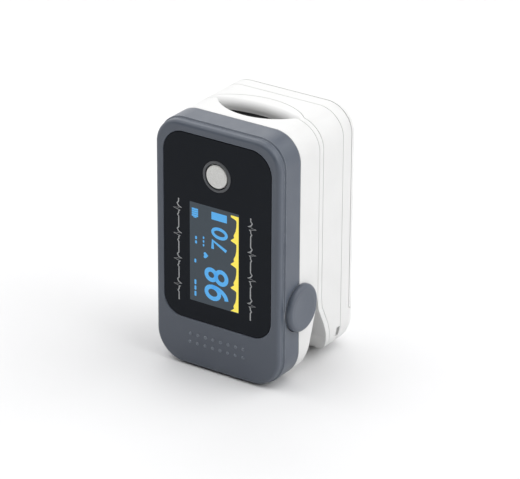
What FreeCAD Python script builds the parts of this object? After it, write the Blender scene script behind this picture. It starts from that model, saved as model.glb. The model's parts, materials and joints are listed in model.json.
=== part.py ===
"""Fingertip pulse oximeter: a display half and a battery half that hinge open like a clip.

Every separate piece is written to its own STEP file. Millimetres, +Z up towards the finger
opening, +Y from the display to the battery door. Inside this file Y counts from the display
face; each piece is moved at the end so that the origin is the centre of the base.
"""
import FreeCAD, Part
import math
import os

V = FreeCAD.Vector

# ---- driving dimensions -------------------------------------------------------------------
HEIGHT = 58.5
WIDTH = 33.2
DEPTH = 30.8
CORNER_LOW = 7.4        # corner radii of the outline seen from the front
CORNER_HIGH = 6.5
WALL = 1.5
BACK_ROUND = 3.0        # rounding of the back edge
SEAM = 0.14             # width of a visible parting line
SEAM_DEEP = 0.5

COVER_DEPTH = 7.5       # grey front cover, from its face to the white shell
RIM_DEPTH = 1.9         # raised rim of the front cover
RIM_INSET = 0.35
RIM_ROUND = 0.9
STEP_BEVEL = 0.33       # bevel behind the rim
EDGE_ROUND = 0.25

WINDOW = {"half": 14.15, "low": 11.7, "high": 55.95, "low_round": 4.7, "high_round": 5.4}
WINDOW_THICK = 1.2
WINDOW_GAP = 0.05
WINDOW_SUNK = 0.12
LEDGE_FRONT = 1.35
LEDGE_BACK = 2.35

DOT_R = 0.42
DOT_PROUD = 0.2
DOT_PITCH = 2.02
DOT_COUNT = 8
DOT_HIGH_Z = 8.15
DOT_LOW_Z = 6.1

BUTTON_Z = 47.5
BUTTON_R = 2.7
RING_IN = 3.0
RING_OUT = 3.62
BUTTON_PROUD = 0.2
BUTTON_TRAVEL = 0.3
STEM_TIP = 2.0          # where the key's stem meets the switch plunger
PLUNGER_TIP = 2.75

OLED_X = 0.37           # centre of the display glass
OLED_Z = 28.25
OLED_WIDE = 19.26
OLED_TALL = 26.7
OLED_FRONT = 1.4
OLED_THICK = 1.4

BOARD_FRONT = 3.4
BOARD_THICK = 1.0
BOARD_HALF = 11.2
BOARD_LOW = 10.6
BOARD_HIGH = 55.4
BOSS_X = 8.8
BOSS_Z = (12.8, 53.1)
CHIPS = {
    "processor": ((-3.0, 41.5), (7.0, 7.0, 1.0)),
    "amplifier": ((4.8, 41.0), (4.0, 4.0, 0.9)),
    "memory": ((-6.5, 31.5), (4.9, 3.9, 1.1)),
    "crystal": ((5.5, 49.5), (5.0, 3.2, 0.8)),
    "flex_socket": ((0.0, 12.3), (8.4, 2.2, 1.1)),
}
PASSIVE_COUNT = 7

PIVOT_Y = 7.8
PIVOT_Z = 18.0
PIN_R = 1.0
PIN_CLEAR = 0.06
CAP_R = 5.5
CAP_PROUD = 1.3
CAP_ROUND = 0.85        # edge of the cap's face
CAP_DISH = 0.12         # shallow hollow in the face
CAP_DISH_R = 60.0
CAP_GAP = 0.15
CHEEK_R = 4.5           # the shoulder that each cap sits on
COIL_R = 1.9            # the closing springs round the pin
COIL_WIRE = 0.3
COIL_PITCH = 0.7
COIL_TURNS = 4
COIL_X = 8.6

JAW_FRONT = 14.94       # rear face of the front jaw
JAW_REAR = 15.06        # front face of the rear jaw
NOTCH_Z = 14.9          # top of the squeeze notch
NOTCH_FOOT = 9.35       # rear edge of the front jaw at the base
HEEL_Y = 18.65          # foremost point of the rear jaw's rounded heel
HEEL_Z = 6.0
HEEL_REST = 23.6        # where the heel meets the table
JAW_SKIN = 1.2
RIM_STRIP = 1.4         # depth of the rear jaw's visible strip

FRONT_ARC_R = 13.3      # front of the finger channel, seen from above
FRONT_ARC_Y = 23.4
REAR_ARC_R = 27.75      # rear of the finger channel
REAR_ARC_Y = -11.15
PAD_LOW = 21.0
PAD_HIGH = 56.2
FRONT_PAD = 1.3
REAR_PAD = 0.9
CRADLE = 0.7
STOP_THICK = 1.3
LIP_ARC_R = 16.6        # parting line behind the mouth
LIP_ARC_Y = 4.4
MOUTH_ROUND = 1.6
MOUTH_CORNER = 0.9

SENSOR_Z = 33.0         # height of the light source and the detector
EMITTER_HALF = 2.6      # opening for the light source's window
EMITTER_TALL = 6.0
DETECTOR_HALF = 2.2     # opening for the detector's window
DETECTOR_TALL = 5.2
FLEX_HALF = 3.0         # the flat flex between the jaws
FLEX_Z = 12.2

BACK_SEAM = 24.3
SLOT_FRONT = 22.9       # lanyard slots
SLOT_BACK = 24.15
SLOT_ANGLES = ((4, 24), (56, 80))
DOOR_SEAM = 27.6
DOOR_FOOT = 9.6
DOOR_THICK = 1.15
DOOR_GAP = 0.22
DOOR_ROUND = 0.9
GRIP_COUNT = 5          # thumb grooves across the door
GRIP_START = 4.0
GRIP_PITCH = 1.6
GRIP_HALF = 5.0
GRIP_R = 0.75
GRIP_DEEP = 0.3

CELL_R = 5.25
CELL_X = 5.35
CELL_Y = 24.3
CELL_LONG = 43.5
NUB_LONG = 1.0
TRAY_LOW = 9.3
TRAY_HIGH = 56.4
TRAY_HALF = 10.85
TRAY_WALL = 0.6
TRAY_FLOOR = 18.35
PLATE = 0.3
SPRING_LONG = 2.0

EAR_IN = 12.2
EAR_OUT = 14.2
EAR_R = 2.8

CASE_SCREW_X = 13.35
CASE_SCREW_Z = (13.5, 51.0)
SCREW_HEAD = 0.85

HALF = WIDTH / 2
INNER = HALF - WALL
BOARD_BACK = BOARD_FRONT + BOARD_THICK
CENTRE_Y = (DEPTH - BUTTON_PROUD) / 2
FAR = 80.0              # longer than anything in the model


# ---- building blocks ----------------------------------------------------------------------
def box(x, y, z):
    """A block from three (low, high) pairs."""
    size = [pair[1] - pair[0] for pair in (x, y, z)]
    return Part.makeBox(size[0], size[1], size[2], V(x[0], y[0], z[0]))


def rod(axis, radius, span, at):
    """A round bar along "x", "y" or "z"; at holds the other two coordinates in order."""
    length = span[1] - span[0]
    start, way = {
        "x": (V(span[0], at[0], at[1]), V(1, 0, 0)),
        "y": (V(at[0], span[0], at[1]), V(0, 1, 0)),
        "z": (V(at[0], at[1], span[0]), V(0, 0, 1)),
    }[axis]
    return Part.makeCylinder(radius, length, start, way)


def tube(axis, outer, inner, span, at):
    """A round tube."""
    return rod(axis, outer, span, at).cut(rod(axis, inner, span, at))


def both_sides(shape):
    """The shape and its mirror image across the middle."""
    return [shape, shape.mirror(V(0, 0, 0), V(1, 0, 0))]


def fuse(first, *others):
    """One solid from touching or overlapping shapes."""
    return first.fuse(list(others)).removeSplitter()


def quarter(centre, radius, start_angle):
    """A quarter of a circle in the XZ plane, anticlockwise from an angle in degrees."""
    points = []
    for turn in (0, 45, 90):
        angle = math.radians(start_angle + turn)
        points.append(centre + V(radius * math.cos(angle), 0, radius * math.sin(angle)))
    return Part.Arc(*points).toShape()


def rounded_plate(half, low, high, low_round, high_round, front, back, middle=0.0):
    """A plate facing the front, with rounded corners."""
    corners = [
        (half, high, high_round, 0),
        (-half, high, high_round, 90),
        (-half, low, low_round, 180),
        (half, low, low_round, 270),
    ]
    arcs = []
    for x, z, radius, angle in corners:
        inward_x = math.copysign(radius, x)
        inward_z = radius if z == high else -radius
        arcs.append(quarter(V(middle + x - inward_x, front, z - inward_z), radius, angle))
    edges = []
    for index, arc in enumerate(arcs):
        edges.append(arc)
        following = arcs[(index + 1) % 4]
        edges.append(Part.LineSegment(arc.Vertexes[1].Point, following.Vertexes[0].Point).toShape())
    return Part.Face(Part.Wire(edges)).extrude(V(0, back - front, 0))


def outline(inset, front, back):
    """The oximeter's outline, made smaller all round by inset."""
    return rounded_plate(
        HALF - inset, inset, HEIGHT - inset, CORNER_LOW - inset, CORNER_HIGH - inset, front, back
    )


def screw(head_r, shank_r, tip, seat, at):
    """A cross-headed screw along Y, from its tip to a head that sits at seat."""
    head = rod("y", head_r, (seat, seat + SCREW_HEAD), at)
    recess = (seat + SCREW_HEAD / 2, seat + SCREW_HEAD + 1)
    x, z = at
    for long, wide in ((1.0, 0.15), (0.15, 1.0)):
        head = head.cut(box((x - long, x + long), recess, (z - wide, z + wide)))
    shank = rod("y", shank_r, (tip, seat + 0.1), at)
    return fuse(head, shank)


def side_prism(edges):
    """A full-width solid from edges drawn on the side view."""
    return Part.Face(Part.Wire(edges)).extrude(V(2 * FAR, 0, 0))


def side_point(y, z):
    return V(-FAR, y, z)


def side_line(start, end):
    return Part.LineSegment(side_point(*start), side_point(*end)).toShape()


def side_arc(start, middle, end):
    return Part.Arc(side_point(*start), side_point(*middle), side_point(*end)).toShape()


def front_zone(back_by=0.0):
    """Everything in front of the front jaw's rear face.

    Beside the notch that face is an arc about the pivot, so the rear jaw swings past it.
    """
    swing = JAW_FRONT - PIVOT_Y
    drop = PIVOT_Z - NOTCH_Z
    low = (PIVOT_Y + math.sqrt(swing ** 2 - drop ** 2), NOTCH_Z)
    middle = (PIVOT_Y + math.sqrt(swing ** 2 - (drop / 2) ** 2), PIVOT_Z - drop / 2)
    high = (JAW_FRONT, PIVOT_Z)
    slope = (low[0] - NOTCH_FOOT) / NOTCH_Z
    foot = (NOTCH_FOOT - slope * FAR, -FAR)
    zone = side_prism([
        side_line((-FAR, -FAR), foot),
        side_line(foot, low),
        side_arc(low, middle, high),
        side_line(high, (JAW_FRONT, FAR)),
        side_line((JAW_FRONT, FAR), (-FAR, FAR)),
        side_line((-FAR, FAR), (-FAR, -FAR)),
    ])
    zone.translate(V(0, -back_by, 0))
    return zone


def rear_zone(back_by=0.0):
    """Everything behind the rear jaw's front face, shifted back by a distance."""
    rest = (HEEL_REST, 0)
    heel = (HEEL_Y + 1.75, HEEL_Z - 3.3)
    shoulder = (HEEL_Y, HEEL_Z)
    bend = (HEEL_Y - 0.45, HEEL_Z + 2.2)
    slant = (HEEL_Y - 1.45, HEEL_Z + 4.7)
    notch = (JAW_REAR + 0.3, NOTCH_Z - 0.45)
    top = (JAW_REAR, PIVOT_Z - 0.8)
    zone = side_prism([
        side_line((HEEL_REST, -FAR), rest),
        side_arc(rest, heel, shoulder),
        side_arc(shoulder, bend, slant),
        side_line(slant, notch),
        side_line(notch, top),
        side_line(top, (JAW_REAR, FAR)),
        side_line((JAW_REAR, FAR), (FAR, FAR)),
        side_line((FAR, FAR), (FAR, -FAR)),
        side_line((FAR, -FAR), (HEEL_REST, -FAR)),
    ])
    zone.translate(V(0, back_by, 0))
    return zone


def at_sensor(half, tall, y):
    """A block centred on the light path."""
    return box((-half, half), y, (SENSOR_Z - tall / 2, SENSOR_Z + tall / 2))


def flex_slot(y):
    """The slot that the jaw flex passes through."""
    return box((-FLEX_HALF - 0.6, FLEX_HALF + 0.6), y, (FLEX_Z - 0.9, FLEX_Z + 0.9))


def front_channel(outward, low, high):
    """The front of the finger channel, made wider by outward."""
    return rod("z", FRONT_ARC_R + outward, (low, high), (0, FRONT_ARC_Y))


def rear_channel(outward, low, high):
    """The rear of the finger channel, made wider by outward."""
    return rod("z", REAR_ARC_R + outward, (low, high), (0, REAR_ARC_Y))


def parting_groove(front, back):
    """A shallow groove all round the outline."""
    return outline(-1, front, back).cut(outline(SEAM_DEEP, front, back))


def swept(path, radius, start, way):
    """A round wire along a path."""
    profile = Part.Wire([Part.makeCircle(radius, start, way)])
    return Part.Wire(path).makePipeShell([profile], True, True)


def coil(radius, wire, pitch, length):
    """A coil of round wire about the Z axis, starting at the origin's height."""
    helix = Part.makeHelix(pitch, length, radius)
    return swept(helix.Edges, wire, V(radius, 0, 0), V(0, 1, 0))


def folded_strip(corners, bend, thick, x):
    """A flat flex that follows corners on the side view, rounded at each bend."""
    points = [V(0, y, z) for y, z in corners]
    path = []
    start = points[0]
    for before, corner, after in zip(points, points[1:], points[2:]):
        come = (corner - before).normalize()
        leave = (after - corner).normalize()
        half_turn = come.getAngle(leave) / 2
        reach = bend * math.tan(half_turn)
        enter = corner - come * reach
        exit_point = corner + leave * reach
        inward = (leave - come).normalize()
        crown = corner + inward * (bend / math.cos(half_turn) - bend)
        path.append(Part.LineSegment(start, enter).toShape())
        path.append(Part.Arc(enter, crown, exit_point).toShape())
        start = exit_point
    path.append(Part.LineSegment(start, points[-1]).toShape())
    along = (points[1] - points[0]).normalize()
    across = V(1, 0, 0).cross(along)
    edge = [
        points[0] + V(x[0], 0, 0) + across * (thick / 2),
        points[0] + V(x[1], 0, 0) + across * (thick / 2),
        points[0] + V(x[1], 0, 0) - across * (thick / 2),
        points[0] + V(x[0], 0, 0) - across * (thick / 2),
    ]
    profile = Part.makePolygon(edge + edge[:1])
    return Part.Wire(path).makePipeShell([profile], True, False)


def edges_where(shape, test):
    return [edge for edge in shape.Edges if test(edge)]


def flat_rim(shape, y):
    """The edges that lie in the plane at y."""
    return edges_where(
        shape, lambda edge: abs(edge.BoundBox.YMin - y) < 1e-4 and abs(edge.BoundBox.YMax - y) < 1e-4
    )


def round_flat_rim(shape, y, radius):
    return shape.makeFillet(radius, flat_rim(shape, y))


# ---- front half: cover, window, button ----------------------------------------------------
def window_block(gap, front, back):
    return rounded_plate(
        WINDOW["half"] + gap, WINDOW["low"] - gap, WINDOW["high"] + gap,
        WINDOW["low_round"] + gap, WINDOW["high_round"] + gap, front, back,
    )


def grip_dots():
    """Two rows of raised dots below the window, the lower row shifted along a little."""
    dots = []
    for row_z, shift in ((DOT_HIGH_Z, 0.0), (DOT_LOW_Z, -0.1)):
        for index in range(DOT_COUNT):
            x = (index - (DOT_COUNT - 1) / 2) * DOT_PITCH + shift
            dots.append(Part.makeSphere(DOT_R, V(x, DOT_R - DOT_PROUD, row_z)))
    return dots


def front_cover():
    rim = round_flat_rim(outline(RIM_INSET, 0, RIM_DEPTH + 0.1), 0, RIM_ROUND)
    sides = outline(0, RIM_DEPTH, COVER_DEPTH)
    sides = sides.makeChamfer(STEP_BEVEL, flat_rim(sides, RIM_DEPTH))
    cover = fuse(rim, sides, *grip_dots())
    cover = cover.cut(outline(WALL, LEDGE_BACK, COVER_DEPTH + 1))
    cover = cover.cut(window_block(WINDOW_GAP, -1, LEDGE_FRONT))
    window_edges = [edge for edge in flat_rim(cover, 0) if is_window_edge(edge)]
    cover = cover.makeFillet(EDGE_ROUND, window_edges)
    glass_gap = 0.15
    cover = cover.cut(box(
        (OLED_X - OLED_WIDE / 2 - glass_gap, OLED_X + OLED_WIDE / 2 + glass_gap),
        (0, LEDGE_BACK + 1),
        (OLED_Z - OLED_TALL / 2 - glass_gap, OLED_Z + OLED_TALL / 2 + glass_gap),
    ))
    cover = cover.cut(rod("y", RING_OUT, (0, LEDGE_BACK + 1), (0, BUTTON_Z)))
    for x in (-BOSS_X, BOSS_X):
        for z in BOSS_Z:
            cover = cover.fuse(rod("y", 1.6, (LEDGE_BACK - 0.1, BOARD_FRONT), (x, z)))
            cover = cover.cut(rod("y", 0.6, (LEDGE_FRONT + 0.4, BOARD_FRONT + 1), (x, z)))
    cap_room = rod("x", CAP_R + CAP_GAP, (-FAR, FAR), (PIVOT_Y, PIVOT_Z))
    cap_room = cap_room.cut(box((-INNER, INNER), (-FAR, FAR), (-FAR, FAR)))
    return cover.cut(cap_room).removeSplitter()


def is_window_edge(edge):
    """Whether an edge in the cover's front face belongs to the window opening."""
    size = edge.BoundBox
    reach = WINDOW["half"] + 2 * WINDOW_GAP
    return max(abs(size.XMin), abs(size.XMax)) < reach and size.ZMin > WINDOW["low"] - 1


def display_window():
    plate = window_block(0, WINDOW_SUNK, WINDOW_SUNK + WINDOW_THICK)
    plate = round_flat_rim(plate, WINDOW_SUNK, 0.2)
    return plate.cut(rod("y", RING_OUT, (-1, 3), (0, BUTTON_Z)))


def button_ring():
    ring = tube("y", RING_OUT, RING_IN, (-0.1, WINDOW_SUNK + WINDOW_THICK), (0, BUTTON_Z))
    rim = edges_where(ring, lambda edge: abs(edge.BoundBox.YMax + 0.1) < 1e-4)
    return ring.makeFillet(0.2, rim)


def power_button():
    """The key: a round cap, a flange that keeps it in, and a stem behind."""
    cap = rod("y", BUTTON_R, (-BUTTON_PROUD, 1.5), (0, BUTTON_Z))
    rim = edges_where(cap, lambda edge: abs(edge.BoundBox.YMax + BUTTON_PROUD) < 1e-4)
    cap = cap.makeFillet(0.35, rim)
    flange = rod("y", 3.4, (1.4, 1.75), (0, BUTTON_Z))
    stem = rod("y", 0.9, (1.7, STEM_TIP), (0, BUTTON_Z))
    return fuse(cap, flange, stem)


def switch_plunger():
    return rod("y", 0.92, (STEM_TIP, PLUNGER_TIP), (0, BUTTON_Z))


def tact_switch():
    body = box((-2.25, 2.25), (2.15, BOARD_FRONT), (BUTTON_Z - 2.25, BUTTON_Z + 2.25))
    upright = edges_where(body, lambda edge: edge.BoundBox.YLength > 1)
    body = body.makeChamfer(0.5, upright)
    room = PLUNGER_TIP + BUTTON_TRAVEL + 0.1
    return body.cut(rod("y", 1.0, (1, room), (0, BUTTON_Z)))


# ---- front half: display and electronics --------------------------------------------------
def oled_panel():
    """Display glass in two layers: the lower sheet is longer on the flex side."""
    x = (OLED_X - OLED_WIDE / 2, OLED_X + OLED_WIDE / 2)
    z = (OLED_Z - OLED_TALL / 2, OLED_Z + OLED_TALL / 2)
    middle = OLED_FRONT + OLED_THICK / 2
    front = box((x[0], x[1] - 2.2), (OLED_FRONT, middle), z)
    back = box(x, (middle, OLED_FRONT + OLED_THICK), z)
    return fuse(front, back)


def oled_tape():
    return box((-9.0, 8.0), (OLED_FRONT + OLED_THICK, BOARD_FRONT), (17.0, 39.5))


def oled_ribbon():
    """The display's flex, folded round the edge of the main board."""
    fold_x = BOARD_HALF + 0.1
    low = OLED_FRONT + OLED_THICK + 0.08
    high = BOARD_BACK + 0.23
    strip = folded_strip(
        [(low, 0), (low, 3.6), (high, 3.6), (high, 0.6)], (high - low) / 2 - 0.01, 0.15, (-6.5, 6.5)
    )
    strip.rotate(V(0, 0, 0), V(0, 1, 0), 90)
    strip.translate(V(fold_x - 2.75, 0, OLED_Z))
    return strip


def main_board():
    board = rounded_plate(BOARD_HALF, BOARD_LOW, BOARD_HIGH, 1.5, 1.5, BOARD_FRONT, BOARD_BACK)
    for x in (-BOSS_X, BOSS_X):
        for z in BOSS_Z:
            board = board.cut(rod("y", 0.8, (0, 9), (x, z)))
    return board


def board_chips():
    """Processor, amplifier, memory, crystal and small passives on the back of the board."""
    chips = []
    for place, size in CHIPS.values():
        chips.append(on_board(place, size))
    for index in range(PASSIVE_COUNT):
        chips.append(on_board((-9.8, 25.5 + 1.8 * index), (0.8, 1.1, 0.5)))
    return Part.makeCompound(chips)


def on_board(place, size):
    """A block on the back of the main board: (x, z) of its middle, then width, height, thickness."""
    x, z = place
    wide, tall, thick = size
    return box(
        (x - wide / 2, x + wide / 2), (BOARD_BACK, BOARD_BACK + thick), (z - tall / 2, z + tall / 2)
    )


def board_screws():
    screws = []
    for x in (-BOSS_X, BOSS_X):
        for z in BOSS_Z:
            screws.append(screw(1.4, 0.6, LEDGE_FRONT + 0.6, BOARD_BACK, (x, z)))
    return Part.makeCompound(screws)


# ---- front half: inner shell, pad and light source ----------------------------------------
def front_inner_shell():
    """White shell of the front jaw: side walls, finger trough, hinge cheeks and bosses."""
    shell = outline(0, COVER_DEPTH, JAW_FRONT + 1).common(front_zone())
    shell = shell.cut(parting_groove(COVER_DEPTH, COVER_DEPTH + SEAM))
    room = outline(WALL, COVER_DEPTH - 1, JAW_FRONT + 1).common(front_zone(JAW_SKIN))
    trough = front_channel(FRONT_PAD + CRADLE, PAD_LOW - CRADLE, HEIGHT)
    shell = shell.cut(room.cut(trough))
    shell = shell.cut(front_channel(0, PAD_LOW, FAR))
    shell = shell.makeFillet(MOUTH_CORNER, edges_where(shell, is_mouth_corner))
    shell = shell.cut(front_channel(FRONT_PAD, PAD_LOW, PAD_HIGH))
    shell = shell.cut(at_sensor(EMITTER_HALF, EMITTER_TALL, (7, 12)))
    shell = shell.cut(flex_slot((9, 16)))
    for side in both_sides(hinge_cheek()):
        shell = shell.fuse(side)
    for side in both_sides(box((EAR_IN - 0.3, EAR_OUT + 0.3), (11.5, 16), (13.2, PAD_LOW - CRADLE))):
        shell = shell.cut(side)
    for side in both_sides(rod("x", PIN_R, (0, HALF - 0.4), (PIVOT_Y, PIVOT_Z))):
        shell = shell.cut(side)
    return shell.removeSplitter()


def is_mouth_corner(edge):
    """The upright edges where the finger channel meets the jaw's rear face."""
    size = edge.BoundBox
    upright = size.ZLength > 5 and size.XLength < 1e-4 and size.YLength < 1e-4
    return upright and abs(size.YMax - JAW_FRONT) < 1e-4 and abs(size.XMax) < HALF - 1


def hinge_cheek():
    """Round cheek that carries a cap outside and a pin boss inside, on the right side."""
    cheek = rod("x", CHEEK_R, (INNER, HALF), (PIVOT_Y, PIVOT_Z))
    cheek = cheek.common(box((0, FAR), (0, COVER_DEPTH + 2), (0, FAR)))
    boss = rod("x", 2.0, (EAR_OUT + 0.2, INNER + 0.1), (PIVOT_Y, PIVOT_Z))
    return fuse(cheek, boss)


def front_finger_pad():
    """Soft lining of the front of the channel, with a closed end that stops the fingertip."""
    pad = front_channel(FRONT_PAD, PAD_LOW, PAD_HIGH)
    pad = pad.cut(front_channel(0, PAD_LOW + STOP_THICK, FAR))
    pad = pad.common(box((-FAR, FAR), (0, JAW_FRONT - 0.1), (0, FAR)))
    return pad.cut(at_sensor(EMITTER_HALF, EMITTER_TALL, (7, 12)))


def emitter_board():
    return at_sensor(4.0, 10.0, (7.2, 7.8))


def emitter_led():
    """Two-colour light source: a package with a shallow cup."""
    body = at_sensor(2.0, 3.2, (7.8, 9.0))
    return body.cut(rod("y", 1.2, (8.5, 9.5), (0, SENSOR_Z)))


def emitter_window():
    return at_sensor(EMITTER_HALF, EMITTER_TALL, (9.05, 10.05))


# ---- hinge --------------------------------------------------------------------------------
def hinge_cap(side):
    """Round cap over the end of the hinge pin, with a rounded edge and a shallow dish."""
    face = HALF + CAP_PROUD
    cap = rod("x", CAP_R, (HALF, face), (PIVOT_Y, PIVOT_Z))
    cap = cap.makeFillet(CAP_ROUND, edges_where(cap, lambda edge: edge.BoundBox.XMin > face - 1e-4))
    cap = cap.cut(Part.makeSphere(CAP_DISH_R, V(face + CAP_DISH_R - CAP_DISH, PIVOT_Y, PIVOT_Z)))
    return cap if side > 0 else both_sides(cap)[1]


def hinge_pin():
    return rod("x", PIN_R, (-HALF + 0.5, HALF - 0.5), (PIVOT_Y, PIVOT_Z))


def hinge_springs():
    """A closing spring each side: a coil round the pin, one leg up and one leg to the rear."""
    length = COIL_TURNS * COIL_PITCH
    helix = coil(COIL_R, COIL_WIRE, COIL_PITCH, length)
    helix.rotate(V(0, 0, 0), V(0, 1, 0), 90)
    helix.translate(V(COIL_X, PIVOT_Y, PIVOT_Z))
    leg_up = rod("z", COIL_WIRE, (PIVOT_Z, PIVOT_Z + 7), (COIL_X, PIVOT_Y - COIL_R))
    leg_back = rod("y", COIL_WIRE, (PIVOT_Y, PIVOT_Y + 4.5), (COIL_X + length, PIVOT_Z - COIL_R))
    return Part.makeCompound(both_sides(helix) + both_sides(leg_up) + both_sides(leg_back))


def jaw_ribbon():
    """Flat flex between the jaws, with a little slack in the notch."""
    back_y = 18.15
    slack = (JAW_REAR, FLEX_Z - 1)
    corners = [
        (5.6, FLEX_Z), (14.2, FLEX_Z), slack, (16.0, FLEX_Z), (back_y, FLEX_Z), (back_y, 17.6),
    ]
    return folded_strip(corners, 0.5, 0.12, (-FLEX_HALF, FLEX_HALF))


# ---- rear half: inner shell, pad and detector ---------------------------------------------
def rear_inner_shell():
    """White face of the rear jaw, with the finger trough, the mouth's lip and the hinge ears."""
    sheet = outline(0, JAW_REAR, FAR).common(rear_zone()).cut(rear_zone(RIM_STRIP))
    lip = rod("z", LIP_ARC_R, (HEIGHT - WALL, HEIGHT), (0, LIP_ARC_Y))
    lip = lip.common(outline(0, JAW_REAR, FAR))
    trough = rear_channel(REAR_PAD + CRADLE, PAD_LOW - CRADLE, HEIGHT)
    trough = trough.common(outline(0, JAW_REAR, FAR))
    shell = sheet.fuse([lip, trough])
    shell = shell.cut(rear_channel(0, PAD_LOW, FAR))
    shell = shell.cut(mouth_flare())
    shell = shell.cut(rear_channel(REAR_PAD, PAD_LOW, PAD_HIGH))
    shell = shell.cut(at_sensor(DETECTOR_HALF, DETECTOR_TALL, (14, 19)))
    shell = shell.cut(flex_slot((14, 19)))
    for side in both_sides(hinge_ear()):
        shell = shell.fuse(side)
    for x in (-CASE_SCREW_X, CASE_SCREW_X):
        for z in CASE_SCREW_Z:
            boss = rod("y", 1.55, (15.6, BACK_SEAM), (x, z)).common(rear_zone(0.6))
            shell = shell.fuse(boss)
            shell = shell.cut(rod("y", 0.7, (19, BACK_SEAM + 1), (x, z)))
    return shell.removeSplitter()


def mouth_flare():
    """What is cut away to round the rear lip of the mouth down into the channel."""
    low = HEIGHT - MOUTH_ROUND
    inner = REAR_ARC_R - 5
    centre = V(REAR_ARC_R + MOUTH_ROUND, REAR_ARC_Y, low)
    crown = centre + V(-math.cos(math.pi / 4), 0, math.sin(math.pi / 4)) * MOUTH_ROUND
    corners = [
        V(REAR_ARC_R + MOUTH_ROUND, REAR_ARC_Y, HEIGHT),
        V(REAR_ARC_R + MOUTH_ROUND, REAR_ARC_Y, HEIGHT + 1),
        V(inner, REAR_ARC_Y, HEIGHT + 1),
        V(inner, REAR_ARC_Y, low),
        V(REAR_ARC_R, REAR_ARC_Y, low),
    ]
    edges = [Part.Arc(corners[4], crown, corners[0]).toShape()]
    for start, end in zip(corners, corners[1:]):
        edges.append(Part.LineSegment(start, end).toShape())
    return Part.Face(Part.Wire(edges)).revolve(V(0, REAR_ARC_Y, 0), V(0, 0, 1), 360)


def hinge_ear():
    """Ear that reaches forward to the pivot, with a lug for the spring leg, on the right side."""
    eye = rod("x", EAR_R, (EAR_IN, EAR_OUT), (PIVOT_Y, PIVOT_Z))
    arm = box((EAR_IN, EAR_OUT), (PIVOT_Y, JAW_REAR + 0.6), (15.5, PIVOT_Z + 2.2))
    lug = box((EAR_IN - 1.1, EAR_IN + 0.1), (10.6, 12.2), (PIVOT_Z - 1.55, PIVOT_Z - 0.5))
    ear = fuse(eye, arm, lug)
    return ear.cut(rod("x", PIN_R + PIN_CLEAR, (0, FAR), (PIVOT_Y, PIVOT_Z)))


def rear_finger_pad():
    pad = rear_channel(REAR_PAD, PAD_LOW, PAD_HIGH).cut(rear_channel(0, PAD_LOW - 1, PAD_HIGH + 1))
    pad = pad.common(box((-FAR, FAR), (JAW_REAR + 0.1, FAR), (0, FAR)))
    return pad.cut(at_sensor(DETECTOR_HALF, DETECTOR_TALL, (14, 19)))


def sensor_board():
    return box((-2.1, 2.1), (18.3, 18.8), (16.5, 37.0))


def photodiode():
    return at_sensor(1.6, 3.2, (17.55, 18.3))


def sensor_window():
    return at_sensor(DETECTOR_HALF, DETECTOR_TALL, (16.65, 17.5))


# ---- rear half: outer shells, door and cells ----------------------------------------------
def rear_shell():
    shell = outline(0, JAW_REAR, BACK_SEAM).common(rear_zone(RIM_STRIP))
    shell = shell.cut(outline(WALL, JAW_REAR - 1, BACK_SEAM + 1))
    shell = shell.cut(rod("z", LIP_ARC_R + 0.05, (HEIGHT - 2 * WALL, FAR), (0, LIP_ARC_Y)))
    strip_groove = rear_zone(RIM_STRIP).cut(rear_zone(RIM_STRIP + SEAM))
    strip_groove = strip_groove.cut(outline(SEAM_DEEP, -FAR, FAR))
    arc_groove = tube("z", LIP_ARC_R + SEAM, LIP_ARC_R - 1, (HEIGHT - SEAM_DEEP, FAR), (0, LIP_ARC_Y))
    shell = shell.cut(strip_groove).cut(arc_groove)
    return shell.cut(lanyard_slot()).removeSplitter()


def lanyard_slot():
    """Two short slots round the lower right corner, with a bar left between them for a cord."""
    centre = (HALF - CORNER_LOW, CORNER_LOW)
    ring = tube("y", CORNER_LOW + 1, CORNER_LOW - 3, (SLOT_FRONT, SLOT_BACK), centre)
    slots = []
    for start, end in SLOT_ANGLES:
        corners = [V(centre[0], 0, centre[1])]
        for angle in (start, end):
            reach = 30.0
            turn = math.radians(angle)
            corners.append(corners[0] + V(reach * math.cos(turn), 0, -reach * math.sin(turn)))
        wedge = Part.Face(Part.makePolygon(corners + corners[:1])).extrude(V(0, FAR, 0))
        slots.append(ring.common(wedge))
    return slots[0].fuse(slots[1])


def back_block(inset):
    """The rounded back of the case, from the back seam to the back face."""
    block = outline(inset, BACK_SEAM, DEPTH - inset)
    return round_flat_rim(block, DEPTH - inset, BACK_ROUND - inset)


def door_zone(gap):
    """Where the battery door sits: behind the door seam and above its foot."""
    zone = box((-FAR, FAR), (DOOR_SEAM + gap, FAR), (DOOR_FOOT + gap, FAR))
    corner = edges_where(
        zone, lambda edge: edge.BoundBox.YMax < DOOR_SEAM + 1 and edge.BoundBox.ZMax < DOOR_FOOT + 1
    )
    return zone.makeFillet(DOOR_ROUND - gap, corner)


def back_cover():
    """Back shell with the battery tray moulded in."""
    cover = back_block(0).cut(back_block(WALL))
    cover = cover.cut(parting_groove(BACK_SEAM, BACK_SEAM + SEAM))
    cover = cover.cut(door_zone(0))
    web = outline(WALL - 0.1, BACK_SEAM, BACK_SEAM + 1).cut(tray_block(-0.1, -0.1))
    cover = fuse(cover, web, tray())
    foot = box((-INNER + 1, INNER - 1), (BACK_SEAM, DEPTH - DOOR_THICK), (DOOR_FOOT - 0.9, DOOR_FOOT))
    cover = cover.fuse(foot.cut(tray_block(-0.1, -0.1)))
    for x in (-CASE_SCREW_X, CASE_SCREW_X):
        for z in CASE_SCREW_Z:
            cover = cover.cut(rod("y", 0.85, (20, BACK_SEAM + 2), (x, z)))
    cover = cover.cut(cell_room()).cut(lanyard_slot()).common(rear_zone(RIM_STRIP + 0.05))
    return cover.removeSplitter()


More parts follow.
